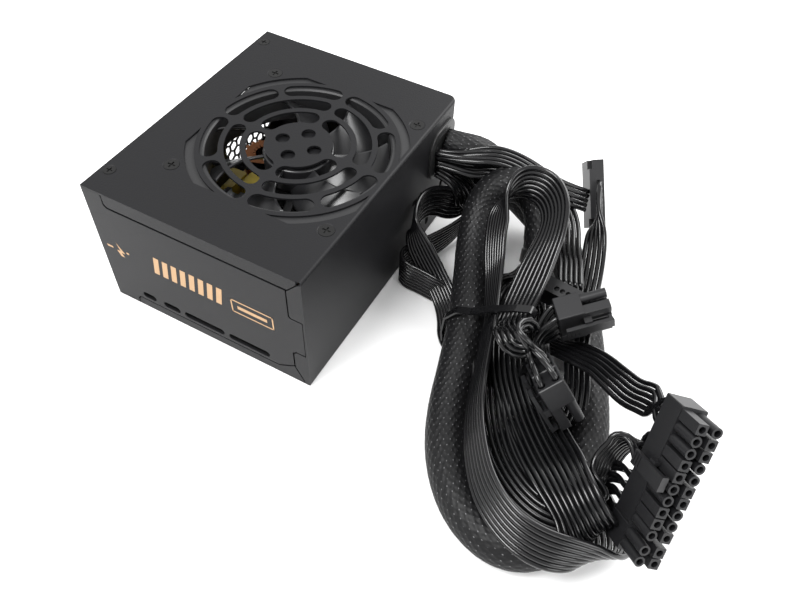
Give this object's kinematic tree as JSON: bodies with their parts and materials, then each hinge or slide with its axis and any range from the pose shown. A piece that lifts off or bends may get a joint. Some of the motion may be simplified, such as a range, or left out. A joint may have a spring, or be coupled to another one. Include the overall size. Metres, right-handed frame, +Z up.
{
  "type": "computer power supply unit",
  "caption": "Small-form-factor computer power supply with a top fan behind a cut grille, a mains inlet and rocker switch, and a fixed harness of sleeved and ribbon cables with plugs.",
  "frame": {"origin": "centre of the case's bottom face, in the plane the unit rests on", "axes": "+Z up through the fan grille; +X from the mains panel towards the cable wall; +Y along the case width, away from the printed side"},
  "size_m": [0.2466, 0.1829, 0.0696],
  "materials": {
    "powder_coat": "fine-textured satin powder coat",
    "black_steel": "black oxide",
    "zinc_steel": "zinc plated",
    "fan_plastic": "satin",
    "rotor_plastic": "gloss",
    "copper_wire": "enamelled copper",
    "bronze": "sintered",
    "magnet": "matt",
    "inlet_plastic": "fine moulded texture",
    "rocker_plastic": "satin",
    "pin_metal": "nickel plated",
    "board_laminate": "laminate with solder resist",
    "insulation_film": "translucent film",
    "capacitor_sleeve": "shrunk sleeve",
    "ferrite": "ground ferrite",
    "tape_yellow": "polyester tape",
    "heatsink_aluminium": "extruded",
    "epoxy_black": "moulded epoxy",
    "fuse_glass": "clear",
    "white_nylon": "moulded nylon",
    "wire_insulation": "PVC",
    "grommet_plastic": "moulded",
    "connector_nylon": "moulded nylon",
    "cable_pvc": "PVC",
    "braided_sleeve": "braided PET sleeve"
  },
  "bodies": {
    "housing": {"ac_inlet": "inlet_plastic", "board_screws": "zinc_steel", "board_standoffs": "zinc_steel", "bridge_rectifier": "epoxy_black", "bulk_capacitor": "capacitor_sleeve", "cable_grommet": "grommet_plastic", "cable_tie": "cable_pvc", "case_screws": "black_steel", "circuit_board": "board_laminate", "control_card": "board_laminate", "drive_cable": "cable_pvc", "drive_link": "cable_pvc", "drive_plugs": "connector_nylon", "emi_choke": "copper_wire", "fan_bearing": "bronze", "fan_frame": "fan_plastic", "fan_lead": "wire_insulation", "fan_plug": "white_nylon", "fan_screws": "black_steel", "fan_stator": "copper_wire", "fuse": "fuse_glass", "graphics_cable": "cable_pvc", "graphics_plug_2": "connector_nylon", "graphics_plug_6": "connector_nylon", "inlet_pins": "pin_metal", "inlet_screws": "black_steel", "insulation_sheet": "insulation_film", "main_plug_20": "connector_nylon", "main_plug_4": "connector_nylon", "main_ribbon_10": "cable_pvc", "main_ribbon_6": "cable_pvc", "main_ribbon_8": "cable_pvc", "main_sleeve_cable": "braided_sleeve", "outer_shell": "powder_coat", "output_capacitors": "capacitor_sleeve", "output_choke": "copper_wire", "output_wiring": "wire_insulation", "pfc_choke": "copper_wire", "power_transistors": "epoxy_black", "primary_heatsink": "heatsink_aluminium", "processor_cable": "cable_pvc", "processor_plug": "connector_nylon", "safety_capacitors": "tape_yellow", "second_drive_cable": "cable_pvc", "secondary_heatsink": "heatsink_aluminium", "side_wrap": "powder_coat", "sleeve_collar": "grommet_plastic", "standby_transformer": "tape_yellow", "switch_body": "inlet_plastic", "transformer_core": "ferrite", "transformer_winding": "tape_yellow"},
    "fan_blades": {"fan_rotor": "rotor_plastic", "rotor_magnet": "magnet", "fan_shaft": "zinc_steel"},
    "rocker": {"power_rocker": "rocker_plastic"},
    "main_latch_lever": {"main_latch": "connector_nylon"},
    "graphics_latch_lever": {"graphics_latch": "connector_nylon"},
    "processor_latch_a_lever": {"processor_latch_a": "connector_nylon"},
    "processor_latch_b_lever": {"processor_latch_b": "connector_nylon"}
  },
  "joints": [
    {"name": "fan_spin", "type": "hinge", "parent": "housing", "child": "fan_blades", "pos_m": [0.008, 0, 0.05], "axis": [0, 0, 1], "continuous": true},
    {"name": "rocker_tilt", "type": "hinge", "parent": "housing", "child": "rocker", "pos_m": [-0.047, -0.0025, 0.033], "axis": [0, 1, 0], "range_deg": [-16, 0]},
    {"name": "main_latch_squeeze", "type": "hinge", "parent": "housing", "child": "main_latch_lever", "pos_m": [0.17883, -0.06103, 0.04787], "axis": [0.005, -0.608, -0.794], "range_deg": [0, 9], "stiffness_Nm_per_rad": 0.05},
    {"name": "graphics_latch_squeeze", "type": "hinge", "parent": "housing", "child": "graphics_latch_lever", "pos_m": [0.14127, -0.0114, 0.04311], "axis": [0.1681, 0.2791, -0.9454], "range_deg": [0, 9], "stiffness_Nm_per_rad": 0.05},
    {"name": "processor_latch_a_squeeze", "type": "hinge", "parent": "housing", "child": "processor_latch_a_lever", "pos_m": [0.13997, -0.04662, 0.03296], "axis": [-0.499, 0.7585, -0.4192], "range_deg": [0, 9], "stiffness_Nm_per_rad": 0.05},
    {"name": "processor_latch_b_squeeze", "type": "hinge", "parent": "housing", "child": "processor_latch_b_lever", "pos_m": [0.13508, -0.03919, 0.02885], "axis": [-0.499, 0.7585, -0.4192], "range_deg": [0, 9], "stiffness_Nm_per_rad": 0.05}
  ]
}
